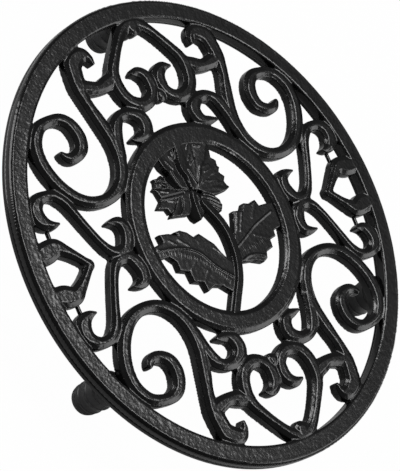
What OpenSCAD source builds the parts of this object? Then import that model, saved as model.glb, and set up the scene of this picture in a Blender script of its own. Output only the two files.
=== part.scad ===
// Round cast iron trivet: an openwork scroll plate with a flower medallion, on three capped legs.
// The origin lies at the centre of the footprint, with the feet on z = 0 and the pot rest on top.

/* [Plate] */
// Outer diameter of the plate
plate_d = 190; // [150:1:240]
// Height of the pot rest above the table
rest_h = 23; // [20:0.5:40]
// Width of the rim, seen from above
rim_w = 7.8; // [6:0.1:11]
// Thickness of the rim
rim_t = 6.2; // [5:0.1:8]
// Radius of the rounded edges of the rim
rim_round = 1.4; // [0.6:0.1:2]
// How far the inner wall of the rim steps back below the scrollwork
rim_step = 0.4; // [0.2:0.1:1]

/* [Scrollwork] */
// Width of a scroll bar where it is plain
bar_w = 5.7; // [4:0.1:6.5]
// Thickness of the scrollwork and the medallion ring
scroll_t = 4.4; // [3.5:0.1:4.8]
// Radius of the cast fillets where bars meet
fillet_r = 0.7; // [0.3:0.1:1]
// Thickness of the low bridges between two curls
bridge_t = 1.6; // [1:0.1:2.5]
// Width of the low bridges
bridge_w = 2.2; // [1.5:0.1:3]

/* [Medallion] */
// Diameter of the opening in the medallion ring
medallion_d = 68.6; // [62:0.2:76]
// Width of the medallion ring, seen from above
ring_w = 8.7; // [6:0.1:10]
// Width of the flower stem
stem_w = 4.4; // [3:0.1:5.5]
// How far the leaves lie below the pot rest
leaf_drop = 1.2; // [0.8:0.1:2]
// Height of each step from one layer of the flower to the next
relief_h = 0.3; // [0.15:0.05:0.4]
// Width of the raised rib on a leaf
rib_w = 1.6; // [1:0.1:2.5]
// Length of the petals of the bloom
petal_len = 20.5; // [18:0.5:23]
// Depth of the teeth on the end of a petal
tooth_h = 1.5; // [0.8:0.1:2.2]
// Width of a sepal under the bloom
sepal_w = 4.6; // [3:0.1:6]

/* [Legs and feet] */
// Diameter of the shoulder that carries a leg under the rim
shoulder_d = 13.2; // [12:0.1:15]
// How far the shoulder lies inside the edge of the plate
leg_inset = 0.3; // [0.2:0.1:2]
// Height of the shoulder under the rim
shoulder_h = 2.4; // [1.5:0.1:4]
// Diameter of the peg at its upper end, inside the foot cap
peg_top_d = 9; // [7:0.1:9.6]
// Diameter of the peg at its lower end
peg_end_d = 8; // [6:0.1:9]
// Thickness of rubber under the end of the peg
cap_floor = 3; // [2:0.1:4]
// Gap between the peg and the bore of the foot cap
cap_gap = 0.2; // [0.1:0.05:0.4]
// Diameter of the foot cap at its upper edge
cap_top_d = 12.8; // [11.5:0.1:13.4]
// Diameter of the foot cap near the table
cap_foot_d = 11.6; // [10.5:0.1:13]
// Radius of the rounded lower edge of the foot cap
cap_round = 1.8; // [1:0.1:2.5]
// Height of a moulded rib round the foot cap
cap_rib_h = 1; // [0.7:0.1:1.4]
// How far a moulded rib stands out
cap_rib_out = 0.3; // [0.2:0.05:0.5]

/* [Hidden] */

leg_count = 3;
quadrants = 4;
overrun = 1;
turn_step = 30;
arc_steps = 3;
circle_sides = 72;
leg_sides = 24;
petal_teeth = 3;
cap_ribs = 3;
full_turn = 360;

plate_r = plate_d / 2;
rim_in_r = plate_r - rim_w;
medallion_r = medallion_d / 2;
ring_out_r = medallion_r + ring_w;
scroll_z = rest_h - scroll_t;
rim_z = rest_h - rim_t;
shoulder_z = rim_z - shoulder_h;
leg_r = plate_r - leg_inset - shoulder_d / 2;
leg_first_angle = 90;
leaf_z = rest_h - leaf_drop;
cap_h = shoulder_z;
peg_h = cap_h - cap_floor;

// The scrolls are drawn on a plate of radius 1, whose ring ends and whose rim starts at these shares
ring_edge_share = 0.452;
rim_edge_share = 0.918;

// Each scroll is a centreline in one quadrant: x and y on that plate, and the width as a share of bar_w
main_scroll_shares = [
    [0.286, 0.774, 0.3], [0.294, 0.798, 0.7], [0.314, 0.815, 1], [0.347, 0.813, 1.3],
    [0.384, 0.787, 1.45], [0.395, 0.745, 1.4], [0.400, 0.700, 1.35], [0.401, 0.655, 1.05],
    [0.389, 0.600, 0.95], [0.373, 0.550, 1.05], [0.358, 0.500, 1.1], [0.347, 0.450, 1.1],
    [0.345, 0.395, 1.1], [0.355, 0.340, 1.1], [0.383, 0.288, 1.05], [0.425, 0.250, 0.95],
    [0.475, 0.229, 0.85], [0.530, 0.224, 0.82], [0.585, 0.234, 0.86], [0.638, 0.262, 0.95],
    [0.685, 0.310, 1.03], [0.718, 0.368, 1.08], [0.735, 0.430, 1.1], [0.731, 0.490, 1.05],
    [0.708, 0.537, 1], [0.667, 0.570, 0.86], [0.606, 0.583, 0.76], [0.558, 0.577, 0.9],
    [0.523, 0.551, 1.03], [0.504, 0.505, 1.15], [0.509, 0.460, 1.1], [0.535, 0.431, 0.92],
    [0.573, 0.418, 0.8], [0.605, 0.424, 0.66], [0.624, 0.441, 0.4]
];
heart_scroll_shares = [
    [0.000, 0.905, 1], [0.035, 0.900, 1], [0.075, 0.873, 0.88], [0.119, 0.826, 0.84],
    [0.165, 0.768, 0.9], [0.192, 0.728, 1], [0.203, 0.690, 1.1], [0.202, 0.650, 1.15],
    [0.188, 0.610, 1.12], [0.158, 0.578, 1.05], [0.110, 0.562, 1], [0.066, 0.573, 0.96],
    [0.036, 0.603, 1.05], [0.028, 0.642, 1.2], [0.041, 0.677, 1.05], [0.073, 0.698, 0.75],
    [0.109, 0.695, 0.2]
];
inner_scroll_shares = [
    [0.335, 0.385, 1], [0.322, 0.445, 1.1], [0.302, 0.495, 1.1], [0.268, 0.530, 0.85],
    [0.225, 0.541, 0.84], [0.180, 0.530, 1], [0.147, 0.500, 1.25], [0.151, 0.460, 1.2],
    [0.178, 0.437, 0.85], [0.210, 0.432, 0.6], [0.245, 0.429, 0.2]
];
side_scroll_shares = [
    [0.776, 0.183, 0.15], [0.803, 0.184, 0.55], [0.832, 0.197, 0.95], [0.854, 0.224, 1.25],
    [0.853, 0.262, 1.2], [0.826, 0.290, 0.95], [0.786, 0.300, 0.73], [0.744, 0.293, 0.77],
    [0.710, 0.266, 0.85], [0.688, 0.228, 0.76], [0.665, 0.175, 0.68], [0.637, 0.115, 0.66],
    [0.613, 0.070, 0.68], [0.585, 0.033, 0.78], [0.547, 0.012, 0.88], [0.502, 0.020, 1],
    [0.468, 0.070, 1.2], [0.475, 0.115, 1], [0.505, 0.131, 0.6], [0.541, 0.1335, 0.15]
];
chevron_shares = [
    [0.706, 0.000, 0.6], [0.742, 0.034, 0.65], [0.785, 0.070, 0.85], [0.830, 0.098, 1.2],
    [0.880, 0.090, 1.5], [0.925, 0.083, 1.2]
];
tie_shares = [
    [0.205, 0.700, 0.9], [0.250, 0.680, 1.1], [0.300, 0.669, 0.92], [0.350, 0.676, 1.05],
    [0.400, 0.690, 1.1]
];
// The small drops on the centre line: height on the plate, and the radius as a share of bar_w
drop_shares = [[0.889, 0.65], [0.586, 0.52]];
// The two ends of the low bridge between the side scroll and the chevron
bridge_shares = [[0.820, 0.185], [0.822, 0.110]];

function unit(v) = v / norm(v);

function placed(p) =
    let (r = norm([p.x, p.y]), d = unit([p.x, p.y]))
    let (share = (r - ring_edge_share) / (rim_edge_share - ring_edge_share))
    d * (ring_out_r + share * (rim_in_r - ring_out_r));

function stations(shares) = [for (s = shares) [placed(s).x, placed(s).y, s.z * bar_w]];

function between(a, b, c, d, t) =
    (2 * b + (c - a) * t + (2 * a - 5 * b + 4 * c - d) * t * t + (3 * b - a - 3 * c + d) * t * t * t) / 2;

function turn(p, i) =
    let (a = heading(p, i), b = heading(p, i + 1))
    acos(max(-1, min(1, a.x * b.x + a.y * b.y)));

function steps(p, i) = max(1, ceil(turn(p, i) / turn_step));

function curve(p) = [
    for (i = [0:len(p) - 2])
        let (n = steps(p, i))
        for (k = [0:n - 1])
            between(p[max(i - 1, 0)], p[i], p[i + 1], p[min(i + 2, len(p) - 1)], k / n),
    p[len(p) - 1]
];

function heading(p, i) =
    let (a = p[max(i - 1, 0)], b = p[min(i + 1, len(p) - 1)])
    unit([b.x - a.x, b.y - a.y]);

function edge_point(p, i, side) =
    let (h = heading(p, i))
    [p[i].x - side * h.y * p[i].z / 2, p[i].y + side * h.x * p[i].z / 2];

module bar(points) {
    p = curve(points);
    last = len(p) - 1;
    polygon(concat(
        [for (i = [0:last]) edge_point(p, i, 1)],
        [for (i = [0:last]) edge_point(p, last - i, -1)]
    ));
    for (i = [0, last])
        translate([p[i].x, p[i].y])
            circle(d = p[i].z, $fn = arc_steps * 2);
}

module quadrant() {
    bar(stations(main_scroll_shares));
    bar(stations(heart_scroll_shares));
    bar(stations(inner_scroll_shares));
    bar(stations(side_scroll_shares));
    bar(stations(chevron_shares));
    bar(stations(tie_shares));
    for (d = drop_shares)
        translate(placed([0, d[0]]))
            circle(r = d[1] * bar_w, $fn = circle_sides / quadrants);
}

module mirrored() {
    for (a = [0, 1], b = [0, 1])
        mirror([a, 0])
            mirror([0, b])
                children();
}

module band(inner, outer) {
    difference() {
        circle(r = outer, $fn = circle_sides);
        circle(r = inner, $fn = circle_sides);
    }
}

// One quarter of the openwork, with small fillets where the bars meet
module scroll_quarter() {
    offset(r = -fillet_r, $fn = arc_steps * 2)
        intersection() {
            offset(delta = fillet_r) {
                mirrored() quadrant();
                band(medallion_r, ring_out_r);
                band(rim_in_r, rim_in_r + rim_w / 2);
            }
            translate([-fillet_r, -fillet_r])
                square(plate_r + fillet_r);
        }
}

module scrollwork() {
    translate([0, 0, scroll_z])
        mirrored()
            linear_extrude(scroll_t)
                scroll_quarter();
}

function arc(x, y, r, from, to) = [
    for (i = [0:arc_steps])
        let (a = from + (to - from) * i / arc_steps)
        [x + r * cos(a), y + r * sin(a)]
];

module rim() {
    low = rim_z + rim_round;
    high = rest_h - rim_round;
    rotate_extrude($fn = circle_sides)
        polygon(concat(
            arc(plate_r - rim_round, low, rim_round, -90, 0),
            arc(plate_r - rim_round, high, rim_round, 0, 90),
            [[rim_in_r + rim_step, rest_h]],
            arc(rim_in_r + rim_step + rim_round, low, rim_round, 180, 270)
        ));
}

module low_bridges() {
    a = placed(bridge_shares[0]);
    b = placed(bridge_shares[1]);
    translate([0, 0, scroll_z])
        linear_extrude(bridge_t)
            mirrored()
                bar([[a.x, a.y, bridge_w], [b.x, b.y, bridge_w]]);
}

module at_legs() {
    for (i = [0:leg_count - 1])
        rotate(leg_first_angle + i * full_turn / leg_count)
            translate([leg_r, 0, 0])
                children();
}

module leg() {
    translate([0, 0, cap_floor])
        cylinder(h = peg_h + overrun, d1 = peg_end_d, d2 = peg_top_d, $fn = leg_sides);
    translate([0, 0, shoulder_z])
        cylinder(h = shoulder_h + rim_round, d = shoulder_d, $fn = leg_sides);
}

// The flower is drawn in shares of the radius of the medallion's opening
stem_shares = [
    [-0.30, -1.06], [-0.13, -0.83], [0.03, -0.61], [0.12, -0.38], [0.14, -0.14],
    [0.11, 0.02], [0.05, 0.15], [-0.03, 0.30]
];
left_leaf_shares = [
    [0.05, -0.44], [-0.05, -0.33], [-0.12, -0.18], [-0.28, -0.02], [-0.36, -0.05], [-0.44, 0.03],
    [-0.53, 0.075], [-0.62, 0.07], [-0.58, 0.03], [-0.71, 0.075], [-0.84, 0.09], [-0.83, 0.00],
    [-0.95, -0.02], [-1.05, -0.03], [-1.05, -0.17], [-0.83, -0.17], [-0.755, -0.25], [-0.755, -0.35],
    [-0.635, -0.39], [-0.625, -0.51], [-0.50, -0.55], [-0.48, -0.66], [-0.36, -0.62], [-0.25, -0.65],
    [-0.12, -0.77], [0.00, -0.62]
];
right_leaf_shares = [
    [0.13, -0.30], [0.25, -0.12], [0.30, -0.02], [0.36, 0.11], [0.49, 0.09], [0.56, 0.165],
    [0.64, 0.14], [0.745, 0.165], [0.775, 0.09], [1.05, 0.09], [1.05, -0.20], [0.84, -0.23],
    [0.83, -0.30], [0.73, -0.32], [0.72, -0.41], [0.60, -0.44], [0.57, -0.51], [0.50, -0.54],
    [0.36, -0.49], [0.16, -0.47], [0.10, -0.45]
];
left_rib_shares = [[-0.09, -0.66], [-0.26, -0.374], [-0.50, -0.207], [-0.74, -0.136], [-1.02, -0.12]];
right_rib_shares = [[0.10, -0.36], [0.33, -0.195], [0.57, -0.088], [0.78, -0.035], [1.02, -0.02]];
// Where the petals spring from, then each petal: heading, spread in degrees, and length as a share of petal_len
bloom_shares = [-0.08, 0.36];
back_petal_shares = [
    [203, 28, 0.80], [179, 28, 0.95], [152, 34, 1], [122, 34, 1.02],
    [90, 34, 1.06], [58, 34, 1.14], [29, 30, 0.97], [5, 22, 0.92]
];
front_petal_shares = [[136, 34, 0.72], [98, 34, 0.8], [58, 36, 0.74]];
// Each sepal: its heading in degrees and its length as a share of petal_len
sepal_shares = [[241, 0.48], [-30, 0.56], [100, 0.3]];

function in_medallion(p) = [p.x * medallion_r, p.y * medallion_r];

function even_bar(shares, w) = [for (s = shares) [in_medallion(s).x, in_medallion(s).y, w]];

function petal_outline(spread, reach) = [
    [0, 0],
    for (i = [0:petal_teeth * 2])
        let (a = spread * (i / (petal_teeth * 2) - 1 / 2))
        let (r = i % 2 == 0 ? reach - tooth_h : reach)
        [r * cos(a), r * sin(a)]
];

module petal(p) {
    rotate(p[0])
        polygon(petal_outline(p[1], p[2] * petal_len));
}

module sepal(p) {
    rotate(p[0])
        bar([[0, 0, sepal_w], [p[1] * petal_len / 2, 0, sepal_w], [p[1] * petal_len, 0, sepal_w / petal_teeth]]);
}

module relief(layer) {
    translate([0, 0, scroll_z])
        linear_extrude(leaf_z - scroll_z + layer * relief_h)
            children();
}

module flower() {
    relief(0) polygon([for (s = left_leaf_shares) in_medallion(s)]);
    relief(0) polygon([for (s = right_leaf_shares) in_medallion(s)]);
    relief(1) bar(even_bar(left_rib_shares, rib_w));
    relief(1) bar(even_bar(right_rib_shares, rib_w));
    relief(2) bar(even_bar(stem_shares, stem_w));
    translate(in_medallion(bloom_shares)) {
        for (i = [0:len(back_petal_shares) - 1])
            relief(i % 2) petal(back_petal_shares[i]);
        for (i = [0:len(front_petal_shares) - 1])
            relief(2 + i % 2) petal(front_petal_shares[i]);
        for (s = sepal_shares)
            relief(4) sepal(s);
    }
}

module iron_trivet() {
    color("#26262a") {
        rim();
        scrollwork();
        low_bridges();
        flower();
        at_legs() leg();
    }
}

module foot_cap(i) {
    wall = (cap_top_d - cap_foot_d) / 2;
    function outer(z) = cap_foot_d / 2 + wall * z / cap_h;
    function bore(z) = cap_gap + (peg_end_d + (peg_top_d - peg_end_d) * (z - cap_floor) / (peg_h + overrun)) / 2;
    rib_z = [for (k = [1:cap_ribs]) cap_h * k / cap_ribs - cap_rib_h];
    color("#1c1c1e")
        rotate(leg_first_angle + i * full_turn / leg_count)
            translate([leg_r, 0, 0])
                rotate_extrude($fn = leg_sides)
                    polygon(concat(
                        [[0, 0]],
                        arc(cap_foot_d / 2 - cap_round, cap_round, cap_round, -90, 0),
                        [for (z = rib_z, k = [0:3])
                            let (y = z + (k < 2 ? 0 : cap_rib_h))
                            [outer(y) + (k == 0 || k == 3 ? 0 : cap_rib_out), y]],
                        [[bore(cap_h), cap_h], [bore(cap_floor), cap_floor], [0, cap_floor]]
                    ));
}

module foot_cap_1() foot_cap(0);
module foot_cap_2() foot_cap(1);
module foot_cap_3() foot_cap(2);

iron_trivet();
foot_cap_1();
foot_cap_2();
foot_cap_3();
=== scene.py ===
"""Round cast iron trivet with a scroll plate, a flower medallion and three rubber-capped legs."""
import math

import bpy
import numpy as np
from mathutils import Matrix, Vector


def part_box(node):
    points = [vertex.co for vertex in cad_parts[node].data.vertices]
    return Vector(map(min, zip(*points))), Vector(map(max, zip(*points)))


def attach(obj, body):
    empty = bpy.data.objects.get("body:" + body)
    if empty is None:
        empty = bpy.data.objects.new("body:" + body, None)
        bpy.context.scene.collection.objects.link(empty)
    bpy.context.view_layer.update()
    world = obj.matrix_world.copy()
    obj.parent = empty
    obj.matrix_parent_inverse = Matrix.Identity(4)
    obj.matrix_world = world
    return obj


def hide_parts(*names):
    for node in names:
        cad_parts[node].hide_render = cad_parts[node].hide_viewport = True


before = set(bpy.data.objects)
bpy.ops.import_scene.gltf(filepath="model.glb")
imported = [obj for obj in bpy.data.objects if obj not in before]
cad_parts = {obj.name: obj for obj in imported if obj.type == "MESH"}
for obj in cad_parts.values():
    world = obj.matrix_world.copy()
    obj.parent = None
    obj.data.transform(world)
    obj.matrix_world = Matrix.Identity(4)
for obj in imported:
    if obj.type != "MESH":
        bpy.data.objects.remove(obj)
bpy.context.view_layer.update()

MM = 0.001
casting_low, casting_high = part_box("iron_trivet")

# Sizes in millimetres; the plate's radius and the pot rest come from the frame
PLATE_R = (casting_high.x - casting_low.x) / 2 / MM
REST_Z = casting_high.z / MM
PEG_FOOT_Z = casting_low.z / MM
RIM_W = 7.8
RIM_T = 6.2
RIM_STEP = 0.1
RIM_ROUND = 1.4
SCROLL_T = 4.5
BAR_W = 5.7
MEDALLION_R = 34.3
RING_W = 8.7
FLOWER_R = 34.7
LEAF_DROP = 1.2
BRIDGE_T = 1.6
BRIDGE_W = 2.2
SHOULDER_D = 13.2
SHOULDER_H = 2.4
PEG_TOP_D = 9.0
PEG_END_D = 8.0
CAP_GAP = 0.2
CAP_TOP_D = 12.8
CAP_FOOT_D = 11.6
CAP_ROUND = 1.8

RIM_IN_R = PLATE_R - RIM_W
RING_OUT_R = MEDALLION_R + RING_W
SCROLL_Z = REST_Z - SCROLL_T
RIM_Z = REST_Z - RIM_T
SHOULDER_Z = RIM_Z - SHOULDER_H

# The slopes beside the flat tops: how far each reaches in from the edge, and its fall per millimetre
BAR_SLOPE = (2.0, 0.45)
RING_SLOPE = (1.9, 0.39)
RIM_SLOPE = (0.8, 0.5)
# A bar's slopes take up no more than this share of its half width, and slopes meet in a fillet
BAR_SLOPE_SHARE = 0.85
SLOPE_FILLET = 0.25
# How far out from the rim's inner edge the slopes of rim and scrolls are blended
RIM_BLEND_W = 3
# The ring is almost flat beside the bloom: heading and half spread in degrees, how sharply that
# part ends, and the share of the slope that is gone there
BLOOM_SIDE = (95, 31, 6)
BLOOM_SIDE_SHARE = 0.9
# The rim's outer shoulder and its bevel, and the lip along each crest, which ends below a drop
SHOULDER_W = 1.4
SHOULDER_FALL = 1.2
SHOULDER_BEVEL = 0.12
LIP_H = 0.06
LIP_W = 0.6
LIP_END_DROP = 0.3
CREST_ROUND = 0.3
# The waves of the plate's top, the rounding of the lower edges, and the bulge of the side walls
WAVE_H = 0.03
WAVE_W = 2.2
LOW_ROUND = 0.3
RIM_FOOT_ROUND = 0.7
CAST_FILLET = 1.3
WALL_BULGE = 0.12
WALL_SHARES = (0.04, 0.12, 0.3, 0.6, 0.85)
# The small bevels and rounds of a leg, and by what share a bridge narrows in its middle
LEG_EDGE = 0.5
BRIDGE_WAIST = 0.12

# The rings moulded round each cap: height, rise and half width; and the spots across each
CAP_RINGS = ((2.6, 0.15, 0.35), (3.6, 0.15, 0.35), (5.4, 0.3, 0.5), (10.3, 0.3, 0.5))
RING_SPOTS = (-1, -0.6, -0.2, 0.2, 0.6, 1)
# The bevel at the cap's upper edge: how far in it starts, and its height
CAP_BEVEL = (0.05, 0.35)

# Spacing of the mesh points of the plate and of the finer flower, and of points along curves
PLATE_STEP = 0.31
FLOWER_STEP = 0.22
STROKE_STEP = 0.25
STEM_STEP = 0.5
CREASE_STEP = 0.8
# How far round a stroke its depth is worked out, and the depth that counts as far outside
STROKE_REACH = 2.5
FAR = 5.0
# A start above any distance, and a radius that counts as on the axis
HUGE = 1e9
TINY = 1e-6
# By how much parts of one casting reach into each other, and room left round plate and ring slope
OVERLAP = 1
MARGIN = 1
# Sides of the turned pieces and of the bridges, and rows along a bridge
RIM_SIDES = 288
CAP_SIDES = 96
LEG_SIDES = 64
BRIDGE_SIDES = 16
BRIDGE_ROWS = 6
# Seeds of the three wave fields
PLATE_SEED = 3
LEAF_SEED = 5
FLOWER_SEED = 8
# The least square of a gradient that is divided by, and the passes that join cells at corners
MIN_STEEP = 0.25
CORNER_PASSES = 4
# The four sides of a grid cell: row and column of the cell beyond, and of the side's two corners
CELL_SIDES = (
    ((-1, 0), (0, 0), (0, 1)),
    ((0, 1), (0, 1), (1, 1)),
    ((1, 0), (1, 1), (1, 0)),
    ((0, -1), (1, 0), (0, 0)),
)

# Shares of the drawing on a plate of radius 1 at which the ring ends and the rim starts
RING_EDGE_SHARE = 0.452
RIM_EDGE_SHARE = 0.918

# Each scroll in one quadrant: x and y on that plate, and its width as a share of BAR_W
main_scroll_shares = [
    (0.286, 0.774, 0.3), (0.294, 0.798, 0.7), (0.314, 0.815, 1), (0.347, 0.813, 1.3),
    (0.384, 0.787, 1.45), (0.395, 0.745, 1.4), (0.400, 0.700, 1.35), (0.401, 0.655, 1.05),
    (0.389, 0.600, 0.95), (0.373, 0.550, 1.05), (0.358, 0.500, 1.1), (0.347, 0.450, 1.1),
    (0.345, 0.395, 1.1), (0.355, 0.340, 1.1), (0.383, 0.288, 1.05), (0.425, 0.250, 0.95),
    (0.475, 0.229, 0.85), (0.530, 0.224, 0.82), (0.585, 0.234, 0.86), (0.638, 0.262, 0.95),
    (0.685, 0.310, 1.03), (0.718, 0.368, 1.08), (0.735, 0.430, 1.1), (0.731, 0.490, 1.05),
    (0.708, 0.537, 1), (0.667, 0.570, 0.86), (0.606, 0.583, 0.76), (0.558, 0.577, 0.9),
    (0.523, 0.551, 1.03), (0.504, 0.505, 1.15), (0.509, 0.460, 1.1), (0.535, 0.431, 0.92),
    (0.573, 0.418, 0.8), (0.605, 0.424, 0.66), (0.624, 0.441, 0.4),
]
heart_scroll_shares = [
    (0.000, 0.905, 1), (0.035, 0.900, 1), (0.075, 0.873, 0.88), (0.119, 0.826, 0.84),
    (0.165, 0.768, 0.9), (0.192, 0.728, 1), (0.203, 0.690, 1.1), (0.202, 0.650, 1.15),
    (0.188, 0.610, 1.12), (0.158, 0.578, 1.05), (0.110, 0.562, 1), (0.066, 0.573, 0.96),
    (0.036, 0.603, 1.05), (0.028, 0.642, 1.2), (0.041, 0.677, 1.05), (0.073, 0.698, 0.75),
    (0.109, 0.695, 0.2),
]
inner_scroll_shares = [
    (0.335, 0.385, 1), (0.322, 0.445, 1.1), (0.302, 0.495, 1.1), (0.268, 0.530, 0.85),
    (0.225, 0.541, 0.84), (0.180, 0.530, 1), (0.147, 0.500, 1.25), (0.151, 0.460, 1.2),
    (0.178, 0.437, 0.85), (0.210, 0.432, 0.6), (0.245, 0.429, 0.2),
]
side_scroll_shares = [
    (0.776, 0.183, 0.15), (0.803, 0.184, 0.55), (0.832, 0.197, 0.95), (0.854, 0.224, 1.25),
    (0.853, 0.262, 1.2), (0.826, 0.290, 0.95), (0.786, 0.300, 0.73), (0.744, 0.293, 0.77),
    (0.710, 0.266, 0.85), (0.688, 0.228, 0.76), (0.665, 0.175, 0.68), (0.637, 0.115, 0.66),
    (0.613, 0.070, 0.68), (0.585, 0.033, 0.78), (0.547, 0.012, 0.88), (0.502, 0.020, 1),
    (0.468, 0.070, 1.2), (0.475, 0.115, 1), (0.505, 0.131, 0.6), (0.541, 0.1335, 0.15),
]
chevron_shares = [
    (0.706, 0.000, 0.6), (0.742, 0.034, 0.65), (0.785, 0.070, 0.85), (0.830, 0.098, 1.2),
    (0.880, 0.090, 1.5), (0.925, 0.083, 1.2),
]
tie_shares = [
    (0.205, 0.700, 0.9), (0.250, 0.680, 1.1), (0.300, 0.669, 0.92), (0.350, 0.676, 1.05),
    (0.400, 0.690, 1.1),
]
# The small drops on the centre line: height on the plate, and the radius as a share of BAR_W
drop_shares = [(0.889, 0.65), (0.586, 0.52)]
bridge_shares = [(0.820, 0.185), (0.822, 0.110)]

# The flower, in shares of FLOWER_R
stem_shares = [
    (-0.30, -1.06), (-0.13, -0.83), (0.03, -0.61), (0.12, -0.38), (0.14, -0.14),
    (0.11, 0.02), (0.05, 0.15), (-0.03, 0.30),
]
left_leaf_shares = [
    (0.05, -0.44), (-0.05, -0.33), (-0.12, -0.18), (-0.28, -0.02), (-0.36, -0.05), (-0.44, 0.03),
    (-0.53, 0.075), (-0.62, 0.07), (-0.58, 0.03), (-0.71, 0.075), (-0.84, 0.09), (-0.83, 0.00),
    (-0.95, -0.02), (-1.05, -0.03), (-1.05, -0.17), (-0.83, -0.17), (-0.755, -0.25), (-0.755, -0.35),
    (-0.635, -0.39), (-0.625, -0.51), (-0.50, -0.55), (-0.48, -0.66), (-0.36, -0.62), (-0.25, -0.65),
    (-0.12, -0.77), (0.00, -0.62),
]
right_leaf_shares = [
    (0.13, -0.30), (0.25, -0.12), (0.30, -0.02), (0.36, 0.11), (0.49, 0.09), (0.56, 0.165),
    (0.64, 0.14), (0.745, 0.165), (0.775, 0.09), (1.05, 0.09), (1.05, -0.20), (0.84, -0.23),
    (0.83, -0.30), (0.73, -0.32), (0.72, -0.41), (0.60, -0.44), (0.57, -0.51), (0.50, -0.54),
    (0.36, -0.49), (0.16, -0.47), (0.10, -0.45),
]
# The veins of the leaves: points, height and half width in millimetres; and where the marks run
left_vein_shares = [
    ([(-0.05, -0.59), (-0.23, -0.43), (-0.40, -0.22), (-0.63, -0.12), (-0.94, -0.08)], 0.30, 0.5),
    ([(-0.15, -0.22), (-0.05, -0.33)], 0.12, 0.5),
    ([(-0.60, -0.02), (-0.49, -0.12)], 0.12, 0.5),
    ([(-0.74, 0.00), (-0.66, -0.06)], 0.12, 0.5),
    ([(-0.60, -0.38), (-0.48, -0.30)], 0.08, 0.7),
    ([(-0.48, -0.55), (-0.37, -0.44)], 0.08, 0.7),
]
left_grain_shares = [(-0.10, -0.63), (-0.31, -0.38), (-0.54, -0.23), (-0.77, -0.145), (-0.96, -0.12)]
right_vein_shares = [
    ([(0.20, -0.28), (0.34, -0.22), (0.55, -0.12), (0.73, -0.06), (0.90, -0.01)], 0.35, 0.5),
    ([(0.33, 0.10), (0.25, -0.05), (0.23, -0.16)], 0.25, 0.5),
    ([(0.41, 0.10), (0.30, -0.10)], 0.12, 0.4),
    ([(0.48, 0.08), (0.34, -0.13)], 0.12, 0.4),
    ([(0.19, -0.45), (0.30, -0.42), (0.43, -0.43), (0.54, -0.47)], 0.35, 0.6),
    ([(0.70, -0.30), (0.52, -0.22)], 0.10, 0.7),
    ([(0.72, 0.13), (0.60, -0.02)], 0.12, 0.8),
]
right_grain_shares = [(0.20, -0.36), (0.40, -0.34), (0.62, -0.30)]
bloom_centre_shares = (-0.06, 0.46)
# Each petal: heading and half spread in degrees, drop of its root and its tip below the pot rest,
# rise of its left edge in millimetres, number of flutes, and its outline
petal_shares = [
    (189, 10, 2.1, 2.1, 0.5, 2, [
        (-0.10, 0.45), (-0.35, 0.46), (-0.59, 0.45), (-0.69, 0.37), (-0.56, 0.34), (-0.54, 0.28),
        (-0.35, 0.34)]),
    (160, 17, 1.9, 2.2, 0.6, 3, [
        (-0.10, 0.46), (-0.22, 0.55), (-0.32, 0.66), (-0.44, 0.725), (-0.49, 0.70), (-0.58, 0.70),
        (-0.57, 0.67), (-0.59, 0.62), (-0.64, 0.59), (-0.61, 0.56), (-0.59, 0.45), (-0.35, 0.43)]),
    (216, 14, 1.6, 1.3, 0.1, 1, [
        (-0.10, 0.44), (-0.16, 0.47), (-0.27, 0.48), (-0.35, 0.43), (-0.45, 0.33), (-0.56, 0.24),
        (-0.41, 0.225), (-0.30, 0.21), (-0.24, 0.26), (-0.18, 0.40)]),
    (116, 18, 1.9, 0.3, 0.4, 3, [
        (-0.06, 0.46), (-0.10, 0.70), (-0.12, 1.06), (-0.26, 1.03), (-0.38, 0.98), (-0.45, 0.90),
        (-0.42, 0.79), (-0.36, 0.71), (-0.335, 0.62), (-0.28, 0.53)]),
    (-9, 13, 1.2, 1.5, 0.1, 4, [
        (-0.04, 0.46), (0.14, 0.36), (0.27, 0.35), (0.38, 0.36), (0.46, 0.39), (0.43, 0.43),
        (0.41, 0.47), (0.14, 0.54)]),
    (10, 12, 1.1, 1.4, 0.3, 4, [
        (-0.04, 0.46), (0.40, 0.45), (0.45, 0.52), (0.41, 0.56), (0.39, 0.59), (0.42, 0.64),
        (0.30, 0.67), (0.14, 0.60)]),
    (34, 15, 1.0, 1.1, 0.35, 4, [
        (-0.04, 0.46), (0.20, 0.56), (0.42, 0.63), (0.40, 0.66), (0.41, 0.72), (0.35, 0.77),
        (0.37, 0.84), (0.36, 0.94), (0.28, 0.93), (0.14, 0.76)]),
    (56, 21, 1.35, 0.05, 0.0, 3, [
        (-0.06, 0.46), (0.24, 0.76), (0.40, 0.99), (0.22, 1.04), (0.06, 1.04), (0.06, 0.80)]),
    (94, 26, 1.4, 0.05, 0.75, 3, [
        (-0.04, 0.44), (0.08, 0.70), (0.13, 1.05), (-0.02, 1.06), (-0.12, 1.04), (-0.135, 0.93),
        (-0.165, 0.82), (-0.16, 0.71), (-0.11, 0.63), (-0.11, 0.55), (-0.08, 0.48)]),
]
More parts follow.
